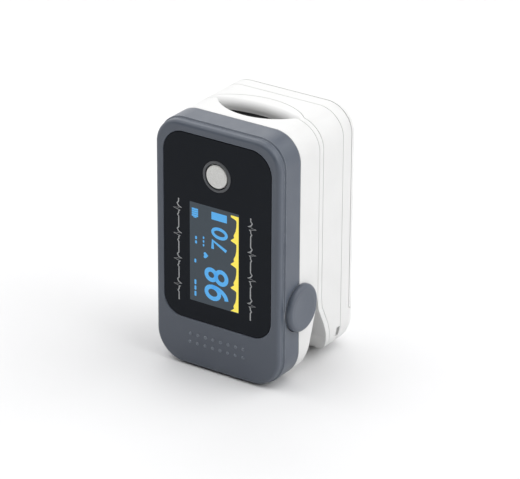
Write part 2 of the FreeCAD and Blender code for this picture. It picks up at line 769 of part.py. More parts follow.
def tray_block(grow, back_grow):
    """The outside of the battery tray, made larger by grow."""
    return box(
        (-TRAY_HALF - TRAY_WALL - grow, TRAY_HALF + TRAY_WALL + grow),
        (TRAY_FLOOR, DOOR_SEAM + back_grow + 2.0),
        (TRAY_LOW - TRAY_WALL - grow, TRAY_HIGH + 0.55 + grow),
    )


def tray():
    """Open tray with a round bed for each cell and a channel between them for the detector."""
    front = tray_block(0, 0).common(outline(WALL + 0.05, 0, BACK_SEAM))
    back = tray_block(0, 0).common(back_block(DOOR_THICK + 0.15))
    block = fuse(front, back)
    return block.cut(box((-2.3, 2.3), (TRAY_FLOOR - 1, TRAY_FLOOR + 0.6), (15.5, 38.0)))


def cell_room():
    """The space that the two cells and their contacts take in the tray, open towards the door."""
    back = DEPTH - DOOR_THICK
    room = box((-TRAY_HALF, TRAY_HALF), (CELL_Y, back), (TRAY_LOW, TRAY_HIGH))
    ends = []
    for low in (TRAY_LOW, TRAY_HIGH - PLATE - SPRING_LONG):
        ends.append(box((-TRAY_HALF, TRAY_HALF), (19.3, back), (low, low + PLATE + SPRING_LONG)))
    beds = [rod("z", CELL_R + 0.08, (TRAY_LOW, TRAY_HIGH), (x, CELL_Y)) for x in (-CELL_X, CELL_X)]
    return room.fuse(ends + beds)


def battery_door():
    """Sliding door that wraps the back: it leaves by sliding up towards the finger opening."""
    skin = back_block(0).cut(back_block(DOOR_THICK))
    skin = skin.common(door_zone(DOOR_GAP))
    for index in range(GRIP_COUNT):
        z = DOOR_FOOT + GRIP_START + GRIP_PITCH * index
        skin = skin.cut(rod("x", GRIP_R, (-GRIP_HALF, GRIP_HALF), (DEPTH + GRIP_R - GRIP_DEEP, z)))
    top = box((-INNER, INNER), (DOOR_SEAM + 2.2, DEPTH - 0.4), (HEIGHT - 1.4, HEIGHT - 0.4))
    return skin.fuse(top.common(back_block(0.2))).removeSplitter()


def cell(x, low, nub_up):
    """An AAA cell: a can with a nub at its positive end."""
    can_low = low if nub_up else low + NUB_LONG
    can = rod("z", CELL_R, (can_low, can_low + CELL_LONG), (x, CELL_Y))
    ends = edges_where(can, lambda edge: edge.BoundBox.ZLength < 1e-4)
    can = can.makeFillet(0.35, ends)
    nub_low = can_low + CELL_LONG - 0.1 if nub_up else low
    nub = rod("z", 1.9, (nub_low, nub_low + NUB_LONG + 0.1), (x, CELL_Y))
    return fuse(can, nub)


def battery_springs():
    """The two coil contacts, one under each cell's flat end."""
    rows = []
    for x, low in ((-CELL_X, TRAY_LOW + PLATE), (CELL_X, TRAY_HIGH - PLATE - SPRING_LONG)):
        spring = coil(2.4, 0.2, (SPRING_LONG - 0.42) / 3, SPRING_LONG - 0.42)
        spring.translate(V(x, CELL_Y, low + 0.21))
        rows.append(spring)
    return Part.makeCompound(rows)


def contact_plate(x, low):
    """Flat sheet contact with rounded corners at one end of the tray."""
    plate = box(x, (20.0, 28.0), (low, low + PLATE))
    corners = edges_where(plate, lambda edge: edge.BoundBox.ZLength > PLATE / 2)
    return plate.makeFillet(1.0, corners)


def battery_contacts():
    rows = both_sides(contact_plate((CELL_X - 4.4, CELL_X + 4.4), TRAY_LOW))
    return Part.makeCompound(rows)


def bridge_contact():
    return contact_plate((-CELL_X - 4.4, CELL_X + 4.4), TRAY_HIGH - PLATE)


def case_screws():
    """Four screws that clamp the back cover to the rear jaw."""
    screws = []
    for x in (-CASE_SCREW_X, CASE_SCREW_X):
        for z in CASE_SCREW_Z:
            screws.append(screw(1.45, 0.7, 19.6, BACK_SEAM + 1, (x, z)))
    return Part.makeCompound(screws)


# ---- output -------------------------------------------------------------------------------
PIECES = {
    "front_cover": front_cover,
    "display_window": display_window,
    "button_ring": button_ring,
    "power_button": power_button,
    "switch_plunger": switch_plunger,
    "tact_switch": tact_switch,
    "oled_panel": oled_panel,
    "oled_tape": oled_tape,
    "oled_ribbon": oled_ribbon,
    "main_board": main_board,
    "board_chips": board_chips,
    "board_screws": board_screws,
    "front_inner_shell": front_inner_shell,
    "front_finger_pad": front_finger_pad,
    "emitter_board": emitter_board,
    "emitter_led": emitter_led,
    "emitter_window": emitter_window,
    "hinge_cap_left": lambda: hinge_cap(-1),
    "hinge_cap_right": lambda: hinge_cap(1),
    "hinge_pin": hinge_pin,
    "hinge_springs": hinge_springs,
    "jaw_ribbon": jaw_ribbon,
    "rear_inner_shell": rear_inner_shell,
    "rear_finger_pad": rear_finger_pad,
    "sensor_board": sensor_board,
    "photodiode": photodiode,
    "sensor_window": sensor_window,
    "rear_shell": rear_shell,
    "back_cover": back_cover,
    "battery_door": battery_door,
    "battery_left": lambda: cell(-CELL_X, TRAY_LOW + PLATE + SPRING_LONG, True),
    "battery_right": lambda: cell(CELL_X, TRAY_LOW + PLATE, False),
    "battery_springs": battery_springs,
    "battery_contacts": battery_contacts,
    "bridge_contact": bridge_contact,
    "case_screws": case_screws,
}


def main():
    os.makedirs("parts", exist_ok=True)
    for name, build in PIECES.items():
        shape = build()
        shape.translate(V(0, -CENTRE_Y, 0))
        shape.exportStep("parts/" + name + ".step")
        box_of = shape.BoundBox
        print(
            f"{name:20s} solids {len(shape.Solids)} valid {shape.isValid()} volume {shape.Volume:9.2f}"
            f"  x {box_of.XMin:7.2f} {box_of.XMax:7.2f}  y {box_of.YMin:7.2f} {box_of.YMax:7.2f}"
            f"  z {box_of.ZMin:7.2f} {box_of.ZMax:7.2f}"
        )


main()
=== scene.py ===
"""Fingertip pulse oximeter: finishes, lit screen, soft pads, springs and flex, studio, camera.

Lengths in the constants are millimetres in the part's own frame: X to the right, Y from the
display towards the battery door, Z up. MM turns them into Blender's metres.
"""
import json
import math

import bmesh
import bpy
from mathutils import Matrix, Vector


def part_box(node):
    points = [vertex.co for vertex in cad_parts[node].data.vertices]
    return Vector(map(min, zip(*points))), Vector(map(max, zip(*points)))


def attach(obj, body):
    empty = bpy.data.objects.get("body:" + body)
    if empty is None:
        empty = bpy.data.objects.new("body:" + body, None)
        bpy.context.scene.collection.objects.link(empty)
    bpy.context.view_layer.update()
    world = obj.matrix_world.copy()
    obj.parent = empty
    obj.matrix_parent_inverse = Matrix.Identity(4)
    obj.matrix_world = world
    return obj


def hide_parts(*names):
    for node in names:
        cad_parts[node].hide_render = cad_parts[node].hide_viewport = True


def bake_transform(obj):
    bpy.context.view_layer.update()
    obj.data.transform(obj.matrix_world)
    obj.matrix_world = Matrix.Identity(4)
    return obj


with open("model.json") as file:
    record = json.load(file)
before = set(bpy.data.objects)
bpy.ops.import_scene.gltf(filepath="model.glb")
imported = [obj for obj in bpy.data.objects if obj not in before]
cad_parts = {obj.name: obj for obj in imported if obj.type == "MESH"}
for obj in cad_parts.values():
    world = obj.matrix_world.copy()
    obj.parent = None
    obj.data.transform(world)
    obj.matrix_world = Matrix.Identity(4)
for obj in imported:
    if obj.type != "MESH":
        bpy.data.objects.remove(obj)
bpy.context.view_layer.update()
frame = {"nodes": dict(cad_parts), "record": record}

MM = 0.001
NODES = frame["nodes"]

# ---- camera -------------------------------------------------------------------------------
CAMERA_TARGET = (11.35, -15.3, 35.75)
CAMERA_YAW = math.radians(34.11)
CAMERA_PITCH = math.radians(24.66)
CAMERA_ROLL = math.radians(0.336)
CAMERA_DISTANCE = 678.8
CAMERA_LENS = 219.3
SENSOR_WIDTH = 36.0

# ---- screen, seen as it is read: u runs up the object, v runs to its left --------------------
SCREEN_LOW = 16.44
SCREEN_RIGHT = 5.77
SCREEN_LONG = 23.6
SCREEN_TALL = 12.96
FILM = 0.012            # thickness of one printed or lit layer
PIXEL = 0.19
PIXEL_GAP = 0.09        # dark line between two pixels, as a share of a pixel
FIELD_ROUND = 0.15
CORNER_STEPS = 4        # straight pieces in each rounded corner
STROKE_STEP = 12        # degrees between two points of a curved pen stroke
UPPER_DIGITS = {"text": "98", "u": (1.1, 9.45), "v": (2.72, 9.06), "pen": 1.0}
LOWER_DIGITS = {"text": "70", "u": (13.2, 19.3), "v": (2.9, 7.25), "pen": 0.74}
FIGURE_SLANT = 0.06     # how far a figure's top leans along the line, per unit of height
FIGURE_GAP = 0.28
PULSE_BAR = {"u": (20.75, 22.55), "v": (3.15, 7.2)}
HEART = {"u": 11.7, "v": 8.75, "size": 1.45}
CELL_ICON = {"u": (20.0, 22.3), "v": (10.75, 12.4), "bars": 4, "filled": 0.86}
TERMINAL = {"long": 0.28, "half": 0.4, "filled": 0.8}
CAPTIONS = (            # start along u, length of each dash, middle along v, height
    (1.2, (1.2, 1.0, 1.2), 11.5, 0.5),
    (9.3, (0.9,), 11.5, 0.5),
    (13.9, (0.75, 0.75), 11.3, 0.5),
    (13.7, (0.6, 0.6, 0.6), 9.3, 0.4),
)
CAPTION_GAP = 0.3
CAPTION_ROUND = 0.2
WAVE = {"u": (0.15, 23.0), "base": 0.06, "beats": 5, "first": 0.1, "pitch": 5.64}
WAVE_BEAT = (           # place along u and height of one beat: steep rise, shoulder, slow fall
    (-0.75, 0.62), (-0.5, 0.95), (-0.12, 2.02), (0.1, 2.1), (0.35, 1.75), (0.8, 1.2),
    (1.3, 1.36), (1.7, 1.2), (2.4, 0.85), (3.4, 0.66), (4.4, 0.6),
)

# ---- printed lines on the panel ---------------------------------------------------------------
LINE_LOW = 15.6
LINE_HIGH = 40.0
LINE_LEFT = -10.15
LINE_RIGHT = 8.85
LINE_WIDTH = 0.28
LINE_BEATS = 4
LINE_SWING = 1.35       # sideways reach of the tallest spike
LINE_BEAT = (           # place along one beat and its reach, both as shares
    (0.0, 0.0), (0.30, 0.0), (0.36, 0.22), (0.42, 0.0), (0.50, 0.0), (0.54, -0.25),
    (0.60, 1.0), (0.66, -0.55), (0.70, 0.0), (0.80, 0.3), (0.88, 0.0),
)

# ---- raised dots below the window ---------------------------------------------------------------
DOT_ROWS = ((8.15, 0.0), (6.1, -0.1))   # height and sideways shift of each row
DOT_COUNT = 8
DOT_PITCH = 2.02
DOT_WIDE = 0.36
DOT_PROUD = 0.22
DOT_FOOT = 0.2          # the face lies this far behind the foremost point of the cover
DOT_SIDES = 12
DOT_LEANS = (90, 63, 36, 9)     # rings of the dome, in degrees from its tip

# ---- soft pads --------------------------------------------------------------------------------
FRONT_RADIUS = 13.45    # finger side of the front pad, seen from above
FRONT_CENTRE = 8.1
FRONT_SPREAD = math.radians(48.5)
REAR_RADIUS = 27.86
REAR_CENTRE = -26.45
REAR_SPREAD = math.radians(18.4)
FLOOR_THICK = 1.3
STOP_ROUND = 1.2        # corner between the trough and the pad's closed lower end
STOP_TURNS = (25, 50, 75, 90)               # degrees turned at each row of that corner
STOP_SHARES = (0.15, 0.35, 0.6, 0.85, 1.0)  # rows of the closed end, as shares of its depth
STOP_CORNER_MIN = 0.02
STOP_CORNER_SHARE = 0.5     # the corner takes at most this share of the room behind it
PAD_EDGE = 0.05         # how far the soft sheet stays inside the CAD pad
STOP_EDGE = 0.15        # the same at the open side of the closed end
FRONT_SKIN = {"thick": 0.8, "groove": 0.26, "lip": 0.1}
REAR_SKIN = {"thick": 0.5, "groove": 0.16, "lip": 0.06}
GROOVE_PITCH = 2.1
GROOVE_FADE = 2.0
SIDE_STEPS = 9          # columns of the sheet on each side of its window
FRONT_WINDOW_STEPS = 4
REAR_WINDOW_STEPS = 3
ROWS_ABOVE = 26         # rows of the sheet above, beside and below its window
ROWS_BESIDE = 5
ROWS_BELOW = 10
WINDOW_Z = 33.0
WINDOW_HALF_X = 2.75
WINDOW_HALF_Z = 3.15
WINDOW_TURN = math.asin(WINDOW_HALF_X / FRONT_RADIUS)
WINDOW_LIP = 0.9
SENSOR_HALF_X = 2.35
SENSOR_HALF_Z = 2.75

# ---- wear and painted highlight on moulded edges ----------------------------------------------
EDGE_WEAR_AND_HIGHLIGHT_WIDTH = 0.22
EDGE_WEAR_AND_HIGHLIGHT_STRENGTH = 0.8

# ---- studio -----------------------------------------------------------------------------------
FLOOR_HALF = 30000
WORLD_STRENGTH = 0.02
SUNS = (                # name, azimuth, elevation, strength, spread, in degrees
    ("right_side", 90, 20, 1.2, 60),
    ("rear_right", 120, 50, 1.3, 60),
    ("low_rear_right", 150, 20, 0.65, 60),
    ("low_rear_left", 214, 25, 1.05, 60),
    ("rear_left", 240, 50, 0.4, 60),
    ("front_left", 300, 50, 0.85, 60),
    ("overhead", 0, 80, 1.05, 60),
    ("left_edge", 276, 14, 0.4, 40),
)


# ---- materials ----------------------------------------------------------------------------
class Finish:
    """One procedural material: a Principled shader and the textures that feed it."""

    def __init__(self, name, roughness, metallic=0.0, specular=0.5):
        self.material = bpy.data.materials.new(name)
        self.material.use_nodes = True
        self.tree = self.material.node_tree
        self.shader = self.tree.nodes["Principled BSDF"]
        self.shader.inputs["Roughness"].default_value = roughness
        self.shader.inputs["Metallic"].default_value = metallic
        self.shader.inputs["Specular IOR Level"].default_value = specular
        self.place = self.add("ShaderNodeTexCoord").outputs["Object"]

    def add(self, kind, **settings):
        """A new shader node with these settings."""
        node = self.tree.nodes.new(kind)
        for key, value in settings.items():
            setattr(node, key, value)
        return node

    def join(self, source, target):
        """Links one socket to another."""
        self.tree.links.new(source, target)

    def noise(self, size, detail=2.0, stretch=(1, 1, 1)):
        """Noise whose blobs are about size millimetres across."""
        mapping = self.add("ShaderNodeMapping")
        mapping.inputs["Scale"].default_value = stretch
        self.join(self.place, mapping.inputs["Vector"])
        texture = self.add("ShaderNodeTexNoise")
        texture.inputs["Scale"].default_value = 1 / (size * MM)
        texture.inputs["Detail"].default_value = detail
        self.join(mapping.outputs["Vector"], texture.inputs["Vector"])
        return texture.outputs["Fac"]

    def spread(self, value, low, high, start=0.3, end=0.7):
        """Maps a texture's start..end to low..high."""
        node = self.add("ShaderNodeMapRange")
        node.inputs["From Min"].default_value = start
        node.inputs["From Max"].default_value = end
        node.inputs["To Min"].default_value = low
        node.inputs["To Max"].default_value = high
        self.join(value, node.inputs["Value"])
        return node.outputs["Result"]

    def blend(self, factor, first, second):
        """A colour between first and second, each a colour or a socket."""
        node = self.add("ShaderNodeMix", data_type="RGBA")
        self.join(factor, node.inputs["Factor"])
        for socket, colour in ((node.inputs[6], first), (node.inputs[7], second)):
            if isinstance(colour, tuple):
                socket.default_value = (*colour, 1)
            else:
                self.join(colour, socket)
        return node.outputs[2]

    def colour(self, socket):
        """Feeds the base colour."""
        self.join(socket, self.shader.inputs["Base Color"])
        return self

    def gloss(self, size, low, high):
        """Roughness that drifts between low and high over patches of that size."""
        self.join(self.spread(self.noise(size, 4.0), low, high), self.shader.inputs["Roughness"])
        return self

    def bumps(self, *layers):
        """Stacks bump layers, each a height texture and its height in millimetres."""
        normal = None
        for height, depth in layers:
            node = self.add("ShaderNodeBump")
            node.inputs["Distance"].default_value = depth * MM
            self.join(height, node.inputs["Height"])
            if normal is not None:
                self.join(normal, node.inputs["Normal"])
            normal = node.outputs["Normal"]
        self.join(normal, self.shader.inputs["Normal"])
        return self

    def worn_and_highlit_edges(self, width, strength):
        """A mask that is 1 on outer edges, broken up by noise: partly rubbed wear, partly a painted
        highlight line where the edges catch the light.
        """
        bevel = self.add("ShaderNodeBevel", samples=4)
        bevel.inputs["Radius"].default_value = width * MM
        geometry = self.add("ShaderNodeNewGeometry")
        dot = self.add("ShaderNodeVectorMath", operation="DOT_PRODUCT")
        self.join(bevel.outputs["Normal"], dot.inputs[0])
        self.join(geometry.outputs["Normal"], dot.inputs[1])
        edge = self.spread(dot.outputs["Value"], strength, 0.0, 0.86, 0.99)
        patch = self.spread(self.noise(2.5, 3.0), 0.3, 1.0)
        product = self.add("ShaderNodeMath", operation="MULTIPLY")
        self.join(edge, product.inputs[0])
        self.join(patch, product.inputs[1])
        return product.outputs["Value"]


def moulded(name, colour, shade, roughness, grain, specular=0.5, edge_wear_and_highlight=None):
    """Injection-moulded plastic: flow marks in its colour, spark-eroded grain, patchy gloss."""
    finish = Finish(name, roughness, specular=specular)
    surface = finish.blend(finish.spread(finish.noise(9.0, 3.0), 0.0, 1.0), colour, shade)
    # The lighter edge colour is partly rubbed wear and partly a painted highlight line along the edges.
    if edge_wear_and_highlight:
        surface = finish.blend(finish.worn_and_highlit_edges(EDGE_WEAR_AND_HIGHLIGHT_WIDTH, EDGE_WEAR_AND_HIGHLIGHT_STRENGTH), surface, edge_wear_and_highlight)
    finish.colour(surface)
    finish.gloss(4.0, roughness - 0.05, roughness + 0.06)
    finish.bumps((finish.noise(0.16, 3.0), grain), (finish.noise(1.4, 2.0), grain * 1.6))
    return finish.material


def polished(name, colour, shade, roughness, specular):
    """Smooth acrylic with faint haze and a slight waviness."""
    finish = Finish(name, roughness, specular=specular)
    finish.colour(finish.blend(finish.noise(6.0, 2.0), colour, shade))
    finish.gloss(3.0, roughness, roughness + 0.07)
    finish.bumps((finish.noise(5.0, 1.0), 0.004), (finish.noise(0.5, 2.0), 0.0006))
    return finish.material


def painted_silver(name):
    """Fine metallic paint: bright flakes in a satin grey."""
    finish = Finish(name, 0.42, metallic=0.25)
    flakes = finish.spread(finish.noise(0.09, 1.0), 0.0, 1.0, 0.45, 0.6)
    finish.colour(finish.blend(flakes, (0.60, 0.60, 0.575), (0.78, 0.78, 0.765)))
    finish.gloss(1.5, 0.36, 0.5)
    finish.bumps((finish.noise(0.1, 2.0), 0.003))
    return finish.material


def metal(name, colour, shade, roughness, stretch):
    """Bare metal with drawing or rolling lines along one axis."""
    finish = Finish(name, roughness, metallic=1.0)
    lines = finish.noise(0.25, 4.0, stretch)
    finish.colour(finish.blend(lines, colour, shade))
    finish.join(finish.spread(lines, roughness - 0.08, roughness + 0.1), finish.shader.inputs["Roughness"])
    finish.bumps((lines, 0.003))
    return finish.material


def circuit_board(name):
    """Solder mask over copper tracks, which show as slightly lighter, raised lanes."""
    finish = Finish(name, 0.28)
    tracks = finish.add("ShaderNodeTexBrick", offset=0.5, squash=1.0)
    turn = finish.add("ShaderNodeMapping")
    turn.inputs["Rotation"].default_value = (math.pi / 2, 0, 0)
    finish.join(finish.place, turn.inputs["Vector"])
    finish.join(turn.outputs["Vector"], tracks.inputs["Vector"])
    for socket, value in (("Scale", 1 / (3.2 * MM)), ("Mortar Size", 0.05), ("Mortar Smooth", 0.3)):
        tracks.inputs[socket].default_value = value
    mask = finish.blend(finish.noise(2.0, 3.0), (0.012, 0.085, 0.030), (0.018, 0.115, 0.042))
    finish.colour(finish.blend(tracks.outputs["Fac"], mask, (0.05, 0.21, 0.075)))
    finish.bumps((tracks.outputs["Fac"], 0.03), (finish.noise(0.3, 2.0), 0.004))
    return finish.material


def silicone(name):
    """Soft pad: matt, with a dusty sheen and fine pores."""
    finish = Finish(name, 0.62, specular=0.35)
    finish.shader.inputs["Sheen Weight"].default_value = 0.35
    finish.shader.inputs["Sheen Roughness"].default_value = 0.5
    finish.colour(finish.blend(finish.noise(3.0, 4.0), (0.020, 0.020, 0.022), (0.036, 0.036, 0.038)))
    finish.gloss(2.0, 0.55, 0.72)
    finish.bumps((finish.noise(0.12, 2.0), 0.012), (finish.noise(0.9, 2.0), 0.02))
    return finish.material


def clear_lens(name):
    """Cast epoxy: clear, faintly warm, with a few flow marks."""
    finish = Finish(name, 0.12)
    finish.shader.inputs["Transmission Weight"].default_value = 0.85
    finish.shader.inputs["IOR"].default_value = 1.5
    finish.colour(finish.blend(finish.noise(1.2, 2.0), (0.86, 0.82, 0.76), (0.94, 0.92, 0.88)))
    finish.bumps((finish.noise(0.8, 2.0), 0.01))
    return finish.material


def cell_jacket(name, node):
    """Printed film with a bright band near one end and bare metal at both ends."""
    low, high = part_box(node)
    finish = Finish(name, 0.3)
    axis = finish.add("ShaderNodeSeparateXYZ")
    finish.join(finish.place, axis.inputs["Vector"])
    height = finish.spread(axis.outputs["Z"], 0.0, 1.0, low.z, high.z)
    bands = finish.add("ShaderNodeValToRGB")
    bands.color_ramp.interpolation = "CONSTANT"
    steel, film, stripe = (0.62, 0.62, 0.6, 1), (0.012, 0.045, 0.10, 1), (0.55, 0.58, 0.6, 1)
    stops = ((0.0, steel), (0.03, film), (0.70, stripe), (0.74, film), (0.965, steel))
    ramp = bands.color_ramp.elements
    for index, (place, colour) in enumerate(stops):
        stop = ramp[index] if index < len(ramp) else ramp.new(place)
        stop.position, stop.color = place, colour
    finish.join(height, bands.inputs["Fac"])
    rubbed = finish.spread(finish.noise(1.2, 4.0), 0.0, 0.05)
    finish.colour(finish.blend(rubbed, bands.outputs["Color"], (0.3, 0.32, 0.34)))
    finish.gloss(3.0, 0.22, 0.4)
    finish.bumps((finish.noise(1.5, 3.0), 0.01))
    return finish.material


def lit(name, glow, body, strength, grid):
    """A lit layer of the screen, crossed by the fine dark lines between its pixels."""
    finish = Finish(name, 0.35, specular=0.15)
    cells = finish.add("ShaderNodeTexBrick", offset=0.0, squash=1.0)
    turn = finish.add("ShaderNodeMapping")
    turn.inputs["Rotation"].default_value = (math.pi / 2, 0, 0)
    finish.join(finish.place, turn.inputs["Vector"])
    finish.join(turn.outputs["Vector"], cells.inputs["Vector"])
    for socket, value in (("Scale", 1.0), ("Brick Width", PIXEL * MM), ("Row Height", PIXEL * MM)):
        cells.inputs[socket].default_value = value
    cells.inputs["Mortar Size"].default_value = PIXEL * PIXEL_GAP * MM
    dark = tuple(grid * part for part in glow)
    uneven = finish.blend(finish.noise(2.5, 2.0), glow, tuple(0.93 * part for part in glow))
    shown = finish.blend(cells.outputs["Fac"], uneven, dark)
    finish.join(shown, finish.shader.inputs["Emission Color"])
    finish.shader.inputs["Emission Strength"].default_value = strength
    finish.colour(finish.blend(finish.noise(1.0, 2.0), body, tuple(0.85 * part for part in body)))
    return finish.material


def make_finishes():
    """Every slot of the record, with the finish it gets."""
    along_z, along_x = (1, 1, 0.06), (0.06, 1, 1)
    return {
        # The last colour of cover_grey and ring_grey goes on their outer edges: partly wear, partly a
        # painted highlight line.
        "cover_grey": moulded("cover_grey", (0.076, 0.090, 0.118), (0.082, 0.097, 0.124), 0.36, 0.005,
                              0.5, (0.46, 0.49, 0.54)),
        "shell_white": moulded("shell_white", (0.715, 0.715, 0.71), (0.69, 0.69, 0.685), 0.38, 0.005,
                               0.4),
        "window_black": polished("window_black", (0.0050, 0.0072, 0.0110), (0.0062, 0.0085, 0.0130),
                                 0.16, 0.11),
        "ring_grey": moulded("ring_grey", (0.060, 0.064, 0.070), (0.075, 0.080, 0.088), 0.32, 0.003, 0.5,
                             (0.16, 0.17, 0.18)),
        "button_silver": painted_silver("button_silver"),
        "switch_black": moulded("switch_black", (0.012, 0.012, 0.012), (0.02, 0.02, 0.02), 0.45, 0.004),
        "switch_metal": metal("switch_metal", (0.66, 0.66, 0.65), (0.5, 0.5, 0.5), 0.3, along_x),
        "display_glass": polished("display_glass", (0.010, 0.012, 0.016), (0.014, 0.016, 0.02), 0.08, 0.5),
        "tape_black": moulded("tape_black", (0.010, 0.010, 0.010), (0.016, 0.016, 0.016), 0.8, 0.03),
        "flex_amber": polished("flex_amber", (0.36, 0.13, 0.02), (0.45, 0.18, 0.03), 0.3, 0.5),
        "board_green": circuit_board("board_green"),
        "chip_black": moulded("chip_black", (0.010, 0.010, 0.011), (0.016, 0.016, 0.017), 0.5, 0.006),
        "screw_steel": metal("screw_steel", (0.52, 0.52, 0.53), (0.4, 0.4, 0.41), 0.32, along_x),
        "spring_steel": metal("spring_steel", (0.5, 0.5, 0.51), (0.38, 0.38, 0.4), 0.28, along_z),
        "contact_nickel": metal("contact_nickel", (0.70, 0.67, 0.6), (0.58, 0.56, 0.5), 0.25, along_x),
        "pad_silicone": silicone("pad_silicone"),
        "led_package": moulded("led_package", (0.72, 0.70, 0.60), (0.66, 0.64, 0.55), 0.35, 0.003),
        "lens_clear": clear_lens("lens_clear"),
        "cell_jacket": cell_jacket("cell_jacket", "battery_left"),
    }


def finish_cad_nodes(finishes):
    """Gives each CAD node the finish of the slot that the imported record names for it."""
    for part in frame["record"]["subparts"]:
        node = NODES[part["node"]]
        if not node.material_slots:
            node.data.materials.append(None)
        for place in node.material_slots:
            place.link = "OBJECT"
            place.material = finishes[part["material_slot"]]


# ---- mesh helpers -------------------------------------------------------------------------
def add_piece(name, mesh, finish, body):
    """A new piece that rides on a body, with the finish given."""
    piece = bpy.data.objects.new(name, mesh)
    bpy.context.scene.collection.objects.link(piece)
    mesh.materials.clear()
    mesh.materials.append(finish)
    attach(piece, body)
    return piece


def smooth(mesh):
    """Shades every face of a mesh smoothly."""
    for face in mesh.polygons:
        face.use_smooth = True
    return mesh


def plate_mesh(name, outlines, front, thick):
    """Flat plates facing the display side: each outline is a list of (x, z) corners."""
    made = bmesh.new()
    for outline in outlines:
        ring = [made.verts.new((x * MM, front * MM, z * MM)) for x, z in outline]
        face = made.faces.new(ring)
        grown = bmesh.ops.extrude_face_region(made, geom=[face])
        moved = [item for item in grown["geom"] if isinstance(item, bmesh.types.BMVert)]
        bmesh.ops.translate(made, verts=moved, vec=(0, thick * MM, 0))
    bmesh.ops.recalc_face_normals(made, faces=made.faces)
    mesh = bpy.data.meshes.new(name)
    made.to_mesh(mesh)
    made.free()
    return mesh


def on_screen(points):
    """Screen places (u, v) as (x, z)."""
    return [(SCREEN_RIGHT - v, SCREEN_LOW + u) for u, v in points]


def bar(u, v, corner=0.0):
    """A rounded rectangle on the screen, from u[0] to u[1] and v[0] to v[1]."""
    if not corner:
        return on_screen([(u[0], v[0]), (u[1], v[0]), (u[1], v[1]), (u[0], v[1])])
    points = []
    for index, (at_u, at_v) in enumerate(((u[1], v[1]), (u[0], v[1]), (u[0], v[0]), (u[1], v[0]))):
        centre_u = at_u - corner if at_u == u[1] else at_u + corner
        centre_v = at_v - corner if at_v == v[1] else at_v + corner
        for step in range(CORNER_STEPS + 1):
            angle = math.radians(90 * (index + step / CORNER_STEPS))
            points.append((centre_u + corner * math.cos(angle), centre_v + corner * math.sin(angle)))
    return on_screen(points)


def heart_outline(u, v, size):
    """The usual heart curve, which is 32 units wide, scaled to size."""
    points = []
    for degrees in range(0, 360, 10):
        angle = math.radians(degrees)
        across = 16 * math.sin(angle) ** 3
        up = 13 * math.cos(angle) - 5 * math.cos(2 * angle) - 2 * math.cos(3 * angle) - math.cos(4 * angle)
        points.append((u + across * size / 32, v + up * size / 32))
    return on_screen(points)


def wave_outline():
    """The filled pulse trace: a steep beat, a shoulder and a slow fall, repeated."""
    start, end = WAVE["u"]
    top = []
    for count in range(WAVE["beats"]):
        for along, height in WAVE_BEAT:
            place = WAVE["first"] + count * WAVE["pitch"] + along
            if start <= place <= end:
                top.append((place, height))
    base = WAVE["base"]
    return on_screen([(start, top[0][1]), *top, (end, top[-1][1]), (end, base), (start, base)])


def ribbon(points, width):
    """The outline of a line of that width through points, mitred at each corner."""
    left, right = [], []
    for index, point in enumerate(points):
        before = Vector(points[max(0, index - 1)])
        after = Vector(points[min(len(points) - 1, index + 1)])
        way = (Vector(point) - before).normalized() + (after - Vector(point)).normalized()
        way.normalize()
        side = Vector((-way.y, way.x)) * width / 2
        left.append(tuple(Vector(point) + side))
        right.append(tuple(Vector(point) - side))
    return left + right[::-1]


def ribbon_mesh(name, lines, width, front, thick):
    """Thin flat lines, each built as a strip of quads so that sharp corners stay clean."""
    made = bmesh.new()
    for points in lines:
        add_ribbon(made, ribbon(points, width), front, thick)
    bmesh.ops.recalc_face_normals(made, faces=made.faces)
    mesh = bpy.data.meshes.new(name)
    made.to_mesh(mesh)
    made.free()
    return mesh


def add_ribbon(made, outline, front, thick):
    """Adds one strip whose outline runs along one side of the line and back along the other."""
    size = len(outline)
    layers = []
    for depth in (front, front + thick):
        layers.append([made.verts.new((x * MM, depth * MM, z * MM)) for x, z in outline])
    for layer in layers:
        for index in range(size // 2 - 1):
            across = size - 1 - index
            made.faces.new((layer[index], layer[index + 1], layer[across - 1], layer[across]))
    for index in range(size):
        follow = (index + 1) % size
        made.faces.new((layers[0][index], layers[0][follow], layers[1][follow], layers[1][index]))


def oval(centre, radii, start=0, turn=360 + STROKE_STEP):
    """Points round an oval, anticlockwise from an angle in degrees; a whole turn overlaps itself."""
    count = abs(turn) // STROKE_STEP
    points = []
    for index in range(count + 1):
        angle = math.radians(start + turn * index / count)
        points.append((centre[0] + radii[0] * math.cos(angle), centre[1] + radii[1] * math.sin(angle)))
    return points


def figure_strokes(figure):
    """The pen strokes of one figure, in a cell 1 wide and 1 tall."""
    if figure == "0":
        return [oval((0.5, 0.5), (0.5, 0.5))]
    if figure == "7":
        return [[(0.0, 1.0), (0.96, 1.0), (0.2, 0.0)]]
    if figure == "8":
        return [oval((0.5, 0.76), (0.42, 0.24)), oval((0.5, 0.26), (0.5, 0.26))]
    return [oval((0.48, 0.68), (0.48, 0.32)), oval((0.16, 0.66), (0.82, 0.66), 6, -96)]


def figures_mesh(name, figures, front):
    """Slanted figures that fill a part of the screen, drawn with a pen of even width."""
    low, high = figures["u"]
    below, above = figures["v"]
    pen = figures["pen"]
    tall = above - below - pen
    slant = FIGURE_SLANT * tall
    pitch = (high - low - slant + FIGURE_GAP) / len(figures["text"])
    wide = pitch - FIGURE_GAP - pen
    lines = []
    for count, figure in enumerate(figures["text"]):
        start = low + pen / 2 + pitch * count
        foot = below + pen / 2
        for stroke in figure_strokes(figure):
            places = [(start + along * wide + up * slant, foot + up * tall) for along, up in stroke]
            lines.append(on_screen(places))
    return ribbon_mesh(name, lines, pen, front, FILM)


